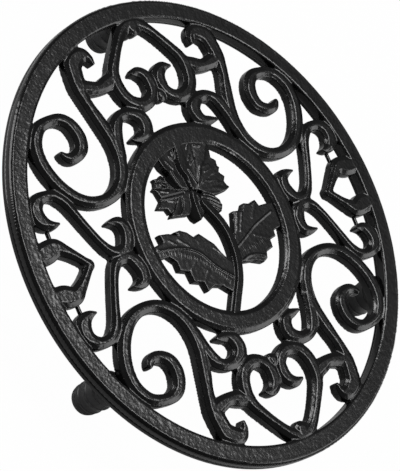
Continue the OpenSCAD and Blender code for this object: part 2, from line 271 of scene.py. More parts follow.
# Raised strokes and grooves on the bloom: points, height and half width in millimetres
bloom_stroke_shares = [
    ([(-0.12, 0.99), (-0.14, 0.92), (-0.165, 0.82), (-0.16, 0.71), (-0.115, 0.63), (-0.115, 0.55),
      (-0.08, 0.45)], 0.50, 0.45),
    ([(-0.42, 0.80), (-0.36, 0.71), (-0.335, 0.62), (-0.28, 0.53)], 0.55, 0.45),
    ([(-0.055, 0.70), (-0.03, 0.63), (0.01, 0.54)], 0.35, 0.35),
    ([(-0.315, 0.725), (-0.29, 0.64), (-0.255, 0.56)], 0.35, 0.35),
    ([(-0.20, 0.93), (-0.20, 0.88), (-0.17, 0.83)], 0.30, 0.35),
    ([(-0.26, 0.89), (-0.20, 0.81)], 0.30, 0.35),
    ([(-0.34, 0.85), (-0.27, 0.75)], 0.20, 0.5),
    ([(0.02, 0.93), (0.07, 0.98)], 0.15, 0.35),
    ([(0.16, 0.95), (0.24, 0.93)], 0.30, 0.4),
    ([(-0.01, 0.81), (0.03, 0.85)], 0.25, 0.35),
    ([(0.00, 0.75), (0.08, 0.80)], 0.25, 0.35),
    ([(-0.50, 0.63), (-0.44, 0.58)], 0.35, 0.4),
    ([(-0.49, 0.68), (-0.43, 0.65), (-0.38, 0.59)], 0.30, 0.4),
    ([(-0.54, 0.55), (-0.45, 0.52)], 0.25, 0.4),
    ([(-0.49, 0.43), (-0.43, 0.41), (-0.39, 0.41)], 0.30, 0.4),
    ([(0.17, 0.63), (0.27, 0.65), (0.36, 0.67)], 0.15, 0.4),
    ([(0.18, 0.69), (0.26, 0.70)], 0.15, 0.4),
    ([(0.14, 0.53), (0.32, 0.50)], 0.10, 0.4),
]
bloom_groove_shares = [
    ([(-0.15, 0.97), (-0.17, 0.92), (-0.20, 0.82), (-0.20, 0.71), (-0.155, 0.62), (-0.15, 0.54),
      (-0.12, 0.47)], 0.60, 0.5),
    ([(-0.47, 0.81), (-0.41, 0.72), (-0.385, 0.63), (-0.33, 0.53)], 0.70, 0.55),
    ([(-0.62, 0.605), (-0.46, 0.575), (-0.28, 0.52)], 0.45, 0.5),
    ([(-0.62, 0.48), (-0.45, 0.475), (-0.25, 0.475)], 0.55, 0.5),
    ([(-0.56, 0.665), (-0.46, 0.65), (-0.36, 0.60)], 0.30, 0.4),
    ([(-0.30, 0.40), (-0.34, 0.32), (-0.42, 0.25)], 0.40, 0.6),
]
sepal_shares = [
    (-0.28, 0.25), (-0.25, 0.15), (-0.21, 0.11), (-0.16, 0.12), (-0.08, 0.16), (-0.02, 0.21),
    (0.00, 0.42), (-0.12, 0.47), (-0.21, 0.43),
]
sepal_crest_shares = [(-0.17, 0.10), (-0.16, 0.28), (-0.15, 0.38), (-0.12, 0.46)]
sepal_vein_shares = [([(-0.06, 0.40), (-0.09, 0.28), (-0.13, 0.20)], 0.25, 0.4)]
calyx_shares = [
    (-0.06, 0.38), (-0.06, 0.28), (0.01, 0.19), (0.12, 0.13), (0.19, 0.15), (0.235, 0.21),
    (0.235, 0.28), (0.19, 0.35), (0.12, 0.40), (0.05, 0.425),
]
calyx_middle_shares = [(-0.05, 0.34), (0.08, 0.29), (0.21, 0.19)]

# The flower's mesh covers this share of the medallion's radius, and the flower ends at the second
FLOWER_GRID_SHARE = 1.1
FLOWER_END_SHARE = 1.06
# How far its top stays below the ring's flat and its underside above the scrolls', and its waves
FLOWER_SINK = 0.04
FLOWER_LOW_GAP = 0.05
FLOWER_WAVE_H = 0.02
FLOWER_WAVE_W = 1.4
# A raised line's width on its steep left side and its gentle right side, as shares of the half width
STEEP_SHARE = 0.6
GENTLE_SHARE = 1.3
# Edges of the flower's pieces: how far in from the outline the fall starts, and how deep it gets;
# and how rounded it starts
LEAF_EDGE = (0.45, 0.22)
PETAL_EDGE = (0.45, 0.2)
SEPAL_EDGE = (0.5, 0.4)
CALYX_EDGE = (0.9, 0.6)
STEM_EDGE = (0.4, 0.25)
EDGE_ROUND = 0.002
# The band of cross marks on a leaf: half width, height, height of the marks, and the two sines
BAND_W = 1.1
BAND_H = 0.06
MARK_H = 0.026
MARK_RATE = 6.6
MARK_SLANT = 0.8
FAINT_MARK_SHARE = 0.6
FAINT_MARK_RATE = 4.1
LEAF_WAVE_H = 0.02
LEAF_WAVE_W = 2.0
# The flutes of a petal: height, sideways bend and its rate, how far past the edge they run on, and
# how fast from the root flutes and the left edge grow
FLUTE_H = 0.07
FLUTE_BEND = 0.12
FLUTE_BEND_RATE = 9
PETAL_SIDE_LIMIT = 1.1
FLUTE_GROWTH = (2, 0.3)
LEFT_GROWTH = 3
# Sepal and stem: depth of the crest below the pot rest, and fall per millimetre on its left and
# on its right; the stem's half width, and how far left of its middle the crest lies
SEPAL_DROP = 0.75
SEPAL_FALLS = (0.55, 0.28)
STEM_DROP = 0.45
STEM_FALLS = (0.6, 0.13)
STEM_HALF_W = 2.2
STEM_CREST_SIDE = 0.9
# The calyx: depth below the pot rest, curve across it, and height, rate and start of its ribs
CALYX_DROP = 0.95
CALYX_CURVE = 0.035
RIB_H = 0.26
RIB_RATE = 2.15
RIB_START = 0.4

# The cast surface: widths of pebbles, grains, lumps and clouds, and how much each adds to the bump
PEBBLE_W = 1.3
GRAIN_W = 0.9
LUMP_W = 4.0
CLOUD_W = 9.0
PEBBLE_SHARE = 0.9
GRAIN_SHARE = 0.8
LUMP_SHARE = 0.8
PEBBLE_SMOOTHNESS = 0.6
IRON_BUMP_H = 0.075
# The iron's roughness, what its flats add, how strongly it mirrors, and its two colours
IRON_ROUGHNESS = (0.11, 0.16)
FLAT_ROUGHNESS = 0.10
IRON_SPECULAR = 0.34
IRON_COLOURS = ((0.0035, 0.0035, 0.0036), (0.007, 0.007, 0.0072))
# How level a spot counts as, at three upward parts of its normal
LEVEL_STOPS = ((0.3, 0.05), (0.985, 1), (0.88, 0.2))
# The rubber: widths of its fine marks and dust, depth of the marks, roughness and colours
RUBBER_MARK_W = 0.35
RUBBER_DUST_W = 3.0
RUBBER_BUMP_H = 0.05
RUBBER_BUMP_STRENGTH = 0.25
RUBBER_ROUGHNESS = (0.32, 0.44)
RUBBER_COLOURS = ((0.010, 0.010, 0.0105), (0.018, 0.018, 0.019))
# The floor: half its side in metres, its grey, and how much of white the camera and reflections see
FLOOR_HALF = 3.0
FLOOR_GREY = 0.5
FLOOR_ROUGHNESS = 0.9
FLOOR_SEEN = 0.985
FLOOR_MIRRORED = 0.1
WORLD_LIGHT = 0.08

# Each lamp: azimuth and elevation in degrees, distance and sides in metres, and power in watts
lamps = {
    "key_light": (16, 66, 1.0, (0.80, 0.22), 7.6),
    "side_light": (-35, 31, 1.2, (0.8, 0.45), 3.8),
    "back_panel": (9, 44, 1.4, (1.0, 0.36), 0.25),
    "rim_light": (122, 18, 1.2, (0.8, 0.8), 13.0),
}
LAMP_AIM = (0, 0, 0.02)
# The view: azimuth, elevation and roll in degrees, and in shares of the radius at the rim's crest
# the spot looked at and the distance; then the lens and the sensor
VIEW_ANGLES = (-171.35, 45.18, 60.97)
VIEW_EDGE_W = 0.8
VIEW_SPOT_SHARES = (-0.1123, -0.0178, -0.0029)
VIEW_DISTANCE_SHARE = 8.518
LENS = 161.4
SENSOR_W = 36
CLIP_END = 20


def unit(x, y):
    """The direction of a point, as a vector of length 1."""
    length = math.hypot(x, y)
    return x / length, y / length


def placed(x, y):
    """A point of the drawing, moved so that ring and rim lie at their real radii."""
    ux, uy = unit(x, y)
    share = (math.hypot(x, y) - RING_EDGE_SHARE) / (RIM_EDGE_SHARE - RING_EDGE_SHARE)
    r = RING_OUT_R + share * (RIM_IN_R - RING_OUT_R)
    return ux * r, uy * r


def smooth_curve(points, step):
    """Points about one step apart on a smooth curve through the given ones."""
    p = np.array(points, float)
    ends = np.vstack([p[:1], p, p[-1:]])
    out = []
    for i in range(len(p) - 1):
        a, b, c, d = ends[i:i + 4]
        count = max(2, int(math.ceil(np.linalg.norm(c[:2] - b[:2]) / step)))
        for k in range(count):
            t = k / count
            out.append((2 * b + (c - a) * t + (2 * a - 5 * b + 4 * c - d) * t ** 2
                        + (3 * b - a - 3 * c + d) * t ** 3) / 2)
    out.append(p[-1])
    return np.array(out)


def smooth_max(a, b, reach):
    """The larger of two fields, with a fillet of the given reach where they meet."""
    near = np.clip(reach - np.abs(a - b), 0, None)
    return np.maximum(a, b) + near ** 2 / (4 * reach)


class Grid:
    """A square grid of points, on which depth inside an outline and height are worked out."""

    def __init__(self, half, step):
        count = int(round(half / step))
        self.step = step
        self.axis = np.arange(-count, count + 1) * step
        self.x, self.y = np.meshgrid(self.axis, self.axis)
        self.r = np.hypot(self.x, self.y)

    def empty(self):
        """A depth field in which nothing is inside."""
        return np.full(self.x.shape, -FAR)

    def stroke(self, points, reach=STROKE_REACH):
        """Depth inside a stroke given as points with x, y and half width."""
        depth = self.empty()
        for x, y, half in points:
            span = half + reach
            i0, i1 = np.searchsorted(self.axis, (x - span, x + span))
            j0, j1 = np.searchsorted(self.axis, (y - span, y + span))
            here = (slice(j0, j1), slice(i0, i1))
            inside = half - np.hypot(self.x[here] - x, self.y[here] - y)
            depth[here] = np.maximum(depth[here], inside)
        return depth

    def beside(self, points):
        """Signed distance beside a polyline, positive on its left, and the distance along it."""
        best = np.full(self.x.shape, HUGE)
        side = np.zeros(self.x.shape)
        run = np.zeros(self.x.shape)
        start = 0.0
        for (x0, y0), (x1, y1) in zip(points[:-1], points[1:]):
            dx, dy = x1 - x0, y1 - y0
            length = math.hypot(dx, dy)
            along = np.clip(((self.x - x0) * dx + (self.y - y0) * dy) / length ** 2, 0, 1)
            away = np.hypot(self.x - x0 - along * dx, self.y - y0 - along * dy)
            cross = dx * (self.y - y0) - dy * (self.x - x0)
            nearer = away < best
            best = np.where(nearer, away, best)
            side = np.where(nearer, np.where(cross >= 0, away, -away), side)
            run = np.where(nearer, start + along * length, run)
            start += length
        return side, run

    def polygon(self, points):
        """Depth inside a polygon, positive inside."""
        best = np.full(self.x.shape, HUGE)
        inside = np.zeros(self.x.shape, bool)
        for (x0, y0), (x1, y1) in zip(points, points[1:] + points[:1]):
            dx, dy = x1 - x0, y1 - y0
            along = np.clip(((self.x - x0) * dx + (self.y - y0) * dy) / (dx * dx + dy * dy), 0, 1)
            best = np.minimum(best, np.hypot(self.x - x0 - along * dx, self.y - y0 - along * dy))
            if y0 != y1:
                inside ^= ((y0 > self.y) != (y1 > self.y)) & (self.x < dx * (self.y - y0) / dy + x0)
        return np.where(inside, best, -best)

    def waves(self, width, seed):
        """An even random field of lumps about as wide as the given width, between about -1 and 1."""
        rough = np.random.default_rng(seed).standard_normal(self.x.shape)
        fx = np.fft.rfftfreq(self.x.shape[1], self.step)
        fy = np.fft.fftfreq(self.x.shape[0], self.step)
        keep = np.exp(-(fx[None, :] ** 2 + fy[:, None] ** 2) * (math.pi * width / 2) ** 2)
        smooth = np.fft.irfft2(np.fft.rfft2(rough) * keep, self.x.shape)
        return smooth / (2 * smooth.std())


def edge_drop(depth, width, height):
    """How far the top falls towards an outline, with a rounded crest at the given width from it."""
    rise = (1 - depth / width) * height
    return (rise + np.sqrt(rise ** 2 + EDGE_ROUND)) / 2 * (depth < width * 2)


def beyond_crest(flat):
    """How far a point lies outside a flat, with the corner at the crest rounded."""
    return (np.sqrt(flat ** 2 + CREST_ROUND ** 2) - flat) / 2


def lip_at(flat):
    """Strength of the lip, which is full on the crest."""
    return np.exp(-(flat / LIP_W) ** 2)


def new_object(name, verts, faces):
    """An object in the scene with a smooth shaded mesh."""
    mesh = bpy.data.meshes.new(name)
    mesh.from_pydata([tuple(v) for v in verts], [], faces)
    mesh.validate()
    mesh.update()
    mesh.shade_smooth()
    thing = bpy.data.objects.new(name, mesh)
    bpy.context.scene.collection.objects.link(thing)
    return thing


def toward_zero(field, step):
    """The move that takes each grid point onto the line where a field is zero, and its gradient."""
    gy, gx = np.gradient(field, step)
    steep = np.maximum(gx ** 2 + gy ** 2, MIN_STEEP)
    share = -field / steep
    return share * gx, share * gy, gx, gy, steep


def cells_inside(depth):
    """Cells whose middle lies inside an outline, with none that meet at a corner only."""
    centre = (depth[:-1, :-1] + depth[1:, :-1] + depth[:-1, 1:] + depth[1:, 1:]) / 4
    cells = centre > 0
    for _ in range(CORNER_PASSES):
        a, b = cells[:-1, :-1], cells[1:, 1:]
        c, d = cells[1:, :-1], cells[:-1, 1:]
        one = a & b & ~c & ~d
        two = ~a & ~b & c & d
        cells[1:, :-1] |= one
        cells[:-1, :-1] |= two
    return cells


def relief_mesh(grid, depth, top, low):
    """Closed mesh of the part of a grid inside an outline, with its edge moved onto the outline."""
    cells = cells_inside(depth)
    full = np.zeros((cells.shape[0] + 2, cells.shape[1] + 2), int)
    full[1:-1, 1:-1] = cells
    around = full[:-1, :-1] + full[1:, :-1] + full[:-1, 1:] + full[1:, 1:]
    used = around > 0
    edge = used & (around < 4)
    mx, my, gx, gy, steep = toward_zero(depth, grid.step)
    x = np.where(edge, grid.x + np.clip(mx, -grid.step, grid.step), grid.x)
    y = np.where(edge, grid.y + np.clip(my, -grid.step, grid.step), grid.y)
    count = int(used.sum())
    index = np.full(used.shape, -1)
    index[used] = np.arange(count)
    verts = np.vstack([np.column_stack([x[used], y[used], z[used]]) for z in (top, low)])
    j, i = np.nonzero(cells)
    a, b, c, d = index[j, i], index[j, i + 1], index[j + 1, i + 1], index[j + 1, i]
    first = np.column_stack([a, b, c])
    second = np.column_stack([a, c, d])
    below = np.column_stack([d, c, b, a]) + count
    faces = first.tolist() + second.tolist() + below.tolist()
    rims = []
    for (dj, di), (pj, pi), (qj, qi) in CELL_SIDES:
        beyond = full[1 + dj:full.shape[0] - 1 + dj, 1 + di:full.shape[1] - 1 + di]
        jj, ii = np.nonzero(cells & (beyond == 0))
        rims.append(np.column_stack([index[jj + pj, ii + pi], index[jj + qj, ii + qi]]))
    rims = np.vstack(rims)
    edge_ids = np.unique(rims)
    out = -np.column_stack([gx[used], gy[used]]) / np.sqrt(steep[used])[:, None]
    extra = []
    levels = [np.arange(count)]
    base = 2 * count
    for share in WALL_SHARES:
        bulge = WALL_BULGE * math.sin(math.pi * share) ** 0.5
        xy = verts[edge_ids, :2] + out[edge_ids] * bulge
        z = verts[edge_ids, 2] * (1 - share) + verts[edge_ids + count, 2] * share
        extra.append(np.column_stack([xy, z]))
        lookup = np.full(count, -1)
        lookup[edge_ids] = base + np.arange(len(edge_ids))
        levels.append(lookup)
        base += len(edge_ids)
    levels.append(np.arange(count) + count)
    p, q = rims[:, 0], rims[:, 1]
    for up, down in zip(levels[:-1], levels[1:]):
        faces += np.column_stack([up[q], up[p], down[p], down[q]]).tolist()
    return np.vstack([verts] + extra) * MM, faces


def revolve(profile, sides, at=(0, 0)):
    """Closed turned mesh from (radius, height) points, whose ends are on the axis or get joined."""
    verts = []
    faces = []
    rings = []
    for r, z in profile:
        if r < TINY:
            rings.append([len(verts)])
            verts.append((at[0], at[1], z))
        else:
            rings.append([len(verts) + k for k in range(sides)])
            for k in range(sides):
                a = 2 * math.pi * k / sides
                verts.append((at[0] + r * math.cos(a), at[1] + r * math.sin(a), z))
    pairs = list(zip(rings[:-1], rings[1:]))
    if len(rings[0]) > 1 and len(rings[-1]) > 1:
        pairs.append((rings[-1], rings[0]))
    for a, b in pairs:
        for k in range(sides):
            n = (k + 1) % sides
            if len(a) == 1:
                faces.append((a[0], b[n], b[k]))
            elif len(b) == 1:
                faces.append((a[k], a[n], b[0]))
            else:
                faces.append((a[k], a[n], b[n], b[k]))
    return np.array(verts) * MM, faces


def join_meshes(parts):
    """One list of vertices and faces from several."""
    verts = []
    faces = []
    start = 0
    for v, f in parts:
        verts.append(v)
        faces += [tuple(i + start for i in face) for face in f]
        start += len(v)
    return np.vstack(verts), faces


def arc(x, y, r, start, end, steps):
    """Points on an arc, angles in degrees."""
    turns = [math.radians(start + (end - start) * k / steps) for k in range(steps + 1)]
    return [(x + r * math.cos(turn), y + r * math.sin(turn)) for turn in turns]


def stroke_points(shares, sx, sy):
    """A scroll's centreline in millimetres, mirrored into its quadrant, with half widths."""
    points = [(*placed(x, y), w * BAR_W / 2) for x, y, w in shares]
    return smooth_curve([(x * sx, y * sy, half) for x, y, half in points], STROKE_STEP)


def strokes():
    """All the scrolls as centrelines with half widths."""
    tables = (main_scroll_shares, heart_scroll_shares, inner_scroll_shares,
              side_scroll_shares, chevron_shares, tie_shares)
    for sx in (1, -1):
        for sy in (1, -1):
            for table in tables:
                yield stroke_points(table, sx, sy)
    for y, half in drop_shares:
        for sy in (1, -1):
            x0, y0 = placed(0, y)
            yield np.array([(x0, y0 * sy, half * BAR_W)])


def plate_fields(grid):
    """Depth inside the outline of the plate, and height of its top."""
    ring = np.minimum(grid.r - MEDALLION_R, RING_OUT_R - grid.r)
    depth = np.maximum(ring, -FAR)
    flat = np.maximum(ring - RING_SLOPE[0], -FAR)
    drop = beyond_crest(flat) * RING_SLOPE[1]
    lip = lip_at(flat)
    turn = np.degrees(np.arctan2(grid.y, grid.x))
    heading, spread, sharpness = BLOOM_SIDE
    beside_bloom = np.exp(-((turn - heading) / spread) ** sharpness)
    beside_bloom *= grid.r < MEDALLION_R + RING_SLOPE[0] + MARGIN
    drop *= 1 - BLOOM_SIDE_SHARE * beside_bloom
    lip *= 1 - beside_bloom
    for points in strokes():
        depth = smooth_max(depth, grid.stroke(points), CAST_FILLET)
        core = points.copy()
        core[:, 2] -= np.minimum(BAR_SLOPE[0], points[:, 2] * BAR_SLOPE_SHARE)
        flat = grid.stroke(core, FAR)
        lip = np.maximum(lip, lip_at(flat))
        drop = -smooth_max(-drop, -beyond_crest(flat) * BAR_SLOPE[1], SLOPE_FILLET)
    rim = np.minimum(grid.r - RIM_IN_R, PLATE_R - WALL_BULGE - grid.r)
    inner = grid.r - RIM_IN_R - RIM_SLOPE[0]
    outer = PLATE_R - SHOULDER_W - grid.r
    past = np.clip(-outer / (SHOULDER_W - WALL_BULGE), 0, 1)
    shoulder = SHOULDER_FALL * (1 - np.sqrt(1 - past ** 2)) + SHOULDER_BEVEL * past
    rim_drop = np.where(outer < 0, shoulder, beyond_crest(inner) * RIM_SLOPE[1])
    for flat in (inner, outer):
        lip = np.maximum(lip, lip_at(flat))
    blended = -smooth_max(-drop, -rim_drop, SLOPE_FILLET)
    drop = np.where(grid.r < RIM_IN_R + RIM_BLEND_W, blended, rim_drop)
    depth = smooth_max(depth, np.maximum(rim, -FAR), CAST_FILLET)
    top = REST_Z - LIP_H - np.maximum(drop, 0) + LIP_H * lip * (drop < LIP_END_DROP)
    return depth, top


def lower_rim():
    """The rim's outer wall and its foot, closed inside the relief above it."""
    wall_top = (REST_Z - SHOULDER_FALL + SCROLL_Z) / 2
    foot_r = RIM_IN_R + RIM_STEP
    profile = arc(PLATE_R - RIM_ROUND, RIM_Z + RIM_ROUND, RIM_ROUND, -90, 0, 8)
    profile += [(PLATE_R, wall_top), (PLATE_R - OVERLAP, wall_top), (foot_r, SCROLL_Z + OVERLAP)]
    profile += arc(foot_r + RIM_FOOT_ROUND, RIM_Z + RIM_FOOT_ROUND, RIM_FOOT_ROUND, 180, 270, 6)
    return revolve(profile, RIM_SIDES)


def scroll_plate():
    """Rim, ring and scrollwork as one cast relief, with the lower rim, bridges and legs."""
    grid = Grid(PLATE_R + MARGIN, PLATE_STEP)
    depth, top = plate_fields(grid)
    wave = WAVE_H * (grid.waves(WAVE_W, PLATE_SEED) - 1)
    top = np.minimum(top + wave, REST_Z)
    low = SCROLL_Z + np.clip(LOW_ROUND - depth, 0, LOW_ROUND) ** 2 / LOW_ROUND
    parts = [relief_mesh(grid, depth, top, low), lower_rim()]
    for sx in (1, -1):
        for sy in (1, -1):
            parts.append(bridge(sx, sy))
    for x, y in leg_places():
        parts.append(leg(x, y))
    return new_object("cast_scroll_plate", *join_meshes(parts))


def bridge(sx, sy):
    """A low rounded bar between the curl of a side scroll and the ball of the chevron."""
    (x0, y0), (x1, y1) = [placed(*p) for p in bridge_shares]
    verts = []
    faces = []
    sides = BRIDGE_SIDES
    for row in range(BRIDGE_ROWS + 1):
        t = row / BRIDGE_ROWS
        x = (x0 + (x1 - x0) * t) * sx
        y = (y0 + (y1 - y0) * t) * sy
        waist = 1 - BRIDGE_WAIST * math.sin(math.pi * t)
        for k in range(sides):
            a = 2 * math.pi * k / sides
            z = SCROLL_Z + BRIDGE_T / 2 * (1 + math.sin(a) * waist)
            verts.append((x + math.cos(a) * BRIDGE_W / 2 * waist, y, z))
    for row in range(BRIDGE_ROWS):
        here = row * sides
        beyond = here + sides
        for k in range(sides):
            n = (k + 1) % sides
            faces.append((here + k, here + n, beyond + n, beyond + k))
    faces.append(tuple(range(sides)))
    faces.append(tuple(BRIDGE_ROWS * sides + k for k in reversed(range(sides))))
    return np.array(verts) * MM, faces


def leg_places():
    """Where the three legs stand, which is where the foot caps are."""
    for i in (1, 2, 3):
        a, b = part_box(f"foot_cap_{i}")
        yield (a.x + b.x) / 2 / MM, (a.y + b.y) / 2 / MM


def leg(x, y):
    """A shoulder under the rim and the tapered peg that the foot cap sits on."""
    half = SHOULDER_D / 2
    inside_z = RIM_Z + RIM_ROUND
    profile = [(0, PEG_FOOT_Z), (PEG_END_D / 2 - LEG_EDGE, PEG_FOOT_Z)]
    profile += [(PEG_END_D / 2, PEG_FOOT_Z + LEG_EDGE), (PEG_TOP_D / 2, SHOULDER_Z)]
    profile += arc(half - LEG_EDGE, SHOULDER_Z + LEG_EDGE, LEG_EDGE, -90, 0, 4)
    profile += [(half, RIM_Z), (half - LEG_EDGE, inside_z), (0, inside_z)]
    return revolve(profile, LEG_SIDES, (x, y))


def in_medallion(points):
    """Points of the flower in millimetres."""
    return [(x * FLOWER_R, y * FLOWER_R) for x, y in points]


def beside_line(grid, points):
    """Signed distance beside a smooth line of the flower, and the distance along it."""
    return grid.beside(smooth_curve(in_medallion(points), CREASE_STEP))


def raised(grid, lines):
    """Height added by rounded ridges along lines; the left side of each falls off more steeply."""
    added = np.zeros(grid.x.shape)
    for points, height, half in lines:
        side, _ = beside_line(grid, points)
        width = np.where(side > 0, half * STEEP_SHARE, half * GENTLE_SHARE)
        added = np.maximum(added, height * np.exp(-(side / width) ** 2))
    return added


def leaf(grid, outline, veins, grain):
    """Depth and height of a leaf: raised veins, a band of fine cross marks and a crisp toothed edge."""
    depth = grid.polygon(in_medallion(outline))
    side, run = beside_line(grid, grain)
    band = np.exp(-(side / BAND_W) ** 2)
    marks = np.sin(run * MARK_RATE + side * MARK_SLANT)
    marks = marks + FAINT_MARK_SHARE * np.sin(run * FAINT_MARK_RATE + 1)
    top = REST_Z - LEAF_DROP + raised(grid, veins) + band * (BAND_H + MARK_H * marks)
    top += LEAF_WAVE_H * grid.waves(LEAF_WAVE_W, LEAF_SEED) - edge_drop(depth, *LEAF_EDGE)
    return depth, top


def petal(grid, heading, half_spread, root, tip, rise, flutes, outline):
    """Depth and height of a fluted petal that is highest along its left edge."""
    cx, cy = in_medallion([bloom_centre_shares])[0]
    points = in_medallion(outline)
    depth = grid.polygon(points)
    reach = max(math.hypot(x - cx, y - cy) for x, y in points)
    dx, dy = grid.x - cx, grid.y - cy
    along = np.clip(np.hypot(dx, dy) / reach, 0, 1)
    turn = (np.degrees(np.arctan2(dy, dx)) - heading + 180) % 360 - 180
    across = np.clip(turn / half_spread, -PETAL_SIDE_LIMIT, PETAL_SIDE_LIMIT)
    bent = across + FLUTE_BEND * np.sin(along * FLUTE_BEND_RATE)
    flute = FLUTE_H * np.cos(bent * math.pi * flutes / 2)
    left = np.clip((across + 1) / 2, 0, 1) ** 2
    growth, start = FLUTE_GROWTH
    top = REST_Z - root - (tip - root) * along + rise * left * np.clip(along * LEFT_GROWTH, 0, 1)
    top += flute * np.clip(along * growth - start, 0, 1) - edge_drop(depth, *PETAL_EDGE)
    return depth, top


def sepal(grid):
    """Depth and height of the folded sepal on the left, steep on its left side."""
    depth = grid.polygon(in_medallion(sepal_shares))
    side, _ = beside_line(grid, sepal_crest_shares)
    top = REST_Z - SEPAL_DROP - np.where(side > 0, *SEPAL_FALLS) * np.abs(side)
    top += raised(grid, sepal_vein_shares)
    return depth, top - edge_drop(depth, *SEPAL_EDGE)


def calyx(grid):
    """Depth and height of the ribbed calyx above the stem."""
    depth = grid.polygon(in_medallion(calyx_shares))
    side, _ = beside_line(grid, calyx_middle_shares)
    ribs = RIB_H * np.abs(np.cos(side * RIB_RATE + RIB_START))
    top = REST_Z - CALYX_DROP - CALYX_CURVE * side ** 2 + ribs
    return depth, top - edge_drop(depth, *CALYX_EDGE)


def stem(grid):
    """Depth and height of the stem, whose crest lies near its left side."""
    line = smooth_curve([(x * FLOWER_R, y * FLOWER_R, STEM_HALF_W) for x, y in stem_shares], STEM_STEP)
    depth = grid.stroke(line)
    side, _ = grid.beside(line[::3, :2])
    crest = side - STEM_CREST_SIDE
    top = REST_Z - STEM_DROP - np.where(crest > 0, *STEM_FALLS) * np.abs(crest)
    return depth, top - edge_drop(depth, *STEM_EDGE)


def flower():
    """The flower spray as one cast relief that runs in under the slopes of the ring."""
    grid = Grid(MEDALLION_R * FLOWER_GRID_SHARE, FLOWER_STEP)
    bloom = [petal(grid, *row) for row in petal_shares]
    marks = raised(grid, bloom_stroke_shares) - raised(grid, bloom_groove_shares)
    bloom = [(d, t + marks) for d, t in bloom]
    parts = bloom + [
        leaf(grid, left_leaf_shares, left_vein_shares, left_grain_shares),
        leaf(grid, right_leaf_shares, right_vein_shares, right_grain_shares),
        stem(grid), sepal(grid), calyx(grid),
    ]
    depth = grid.empty()
    lowest = SCROLL_Z + OVERLAP
    top = np.full(grid.x.shape, lowest)
    for d, t in parts:
        depth = np.maximum(depth, d)
        top = np.maximum(top, np.where(d > -grid.step / 2, t, lowest))
    wave = FLOWER_WAVE_H * (grid.waves(FLOWER_WAVE_W, FLOWER_SEED) - 1)
    top = np.minimum(top + wave, REST_Z - LIP_H - FLOWER_SINK)
    inside = np.where(grid.r < MEDALLION_R * FLOWER_END_SHARE, depth, -FAR)
    low = np.full(grid.x.shape, SCROLL_Z + FLOWER_LOW_GAP)
    return new_object("cast_flower", *relief_mesh(grid, inside, top, low))


def foot_cap(name, x, y):
    """A push-on rubber cap: rounded foot, moulded rings, slight taper and a tapered bore."""
    height = SHOULDER_Z
    foot = CAP_FOOT_D / 2
    taper = (CAP_TOP_D - CAP_FOOT_D) / 2 / height

    def wall(z):
        return foot + taper * z

    def ring(z, rise, half):
        return [(wall(z + d * half) + rise * (1 - d * d), z + d * half) for d in RING_SPOTS]

    profile = [(0, 0)] + arc(foot - CAP_ROUND, CAP_ROUND, CAP_ROUND, -90, 0, 8)
    for z, rise, half in CAP_RINGS:
        profile += ring(z, rise, half)
    bevel_in, bevel_h = CAP_BEVEL
    profile += [(wall(height) - bevel_in, height - bevel_h), (wall(height) - bevel_h, height)]
    profile += [(PEG_TOP_D / 2 + CAP_GAP, height), (PEG_END_D / 2 + CAP_GAP, PEG_FOOT_Z)]
    profile += [(0, PEG_FOOT_Z)]
    return new_object(name, *revolve(profile, CAP_SIDES, (x, y)))


def node_tree(material):
    """The emptied node tree of a material with a new shader: its nodes, its links and the shader."""
    material.use_nodes = True
    nodes = material.node_tree.nodes
    nodes.clear()
    output = nodes.new("ShaderNodeOutputMaterial")
    shader = nodes.new("ShaderNodeBsdfPrincipled")
    material.node_tree.links.new(shader.outputs["BSDF"], output.inputs["Surface"])
    return nodes, material.node_tree.links, shader


def per_size(size):
    """The texture scale at which a pattern is as wide as a size in millimetres."""
    return 1 / (size * MM)


def noise(nodes, links, coords, size, detail, rough=0.5):
    """A cloudy pattern about as wide as the given size in millimetres."""
    made = nodes.new("ShaderNodeTexNoise")
    made.inputs["Scale"].default_value = per_size(size)
    made.inputs["Detail"].default_value = detail
    made.inputs["Roughness"].default_value = rough
    links.new(coords, made.inputs["Vector"])
    return made.outputs["Fac"]


def ramp(nodes, links, value, stops):
    """Colours at the given places, blended between them."""
    made = nodes.new("ShaderNodeValToRGB")
    elements = made.color_ramp.elements
    for k, (at, colour) in enumerate(stops):
        element = elements[k] if k < 2 else elements.new(at)
        element.position = at
        element.color = (*colour, 1)
    links.new(value, made.inputs["Fac"])
    return made.outputs["Color"]


def span(nodes, links, value, low, high, to_low, to_high):
    """A value moved from one range to another."""
    made = nodes.new("ShaderNodeMapRange")
    for key, number in (("From Min", low), ("From Max", high), ("To Min", to_low), ("To Max", to_high)):
        made.inputs[key].default_value = number
    links.new(value, made.inputs["Value"])
    return made.outputs["Result"]


def maths(nodes, links, kind, a, b):
    """The sum or product of two values, each a number or a socket."""
    made = nodes.new("ShaderNodeMath")
    made.operation = kind
    for socket, value in zip(made.inputs, (a, b)):
        if isinstance(value, (int, float)):
            socket.default_value = value
        else:
            links.new(value, socket)
    return made.outputs["Value"]


def bump(nodes, links, shader, height, depth, strength):
    """Surface relief of a depth in millimetres, whose strength is a number or a socket."""
    made = nodes.new("ShaderNodeBump")
    made.inputs["Distance"].default_value = depth * MM
    if isinstance(strength, float):
        made.inputs["Strength"].default_value = strength
    else:
        links.new(strength, made.inputs["Strength"])
    links.new(height, made.inputs["Height"])
    links.new(made.outputs["Normal"], shader.inputs["Normal"])


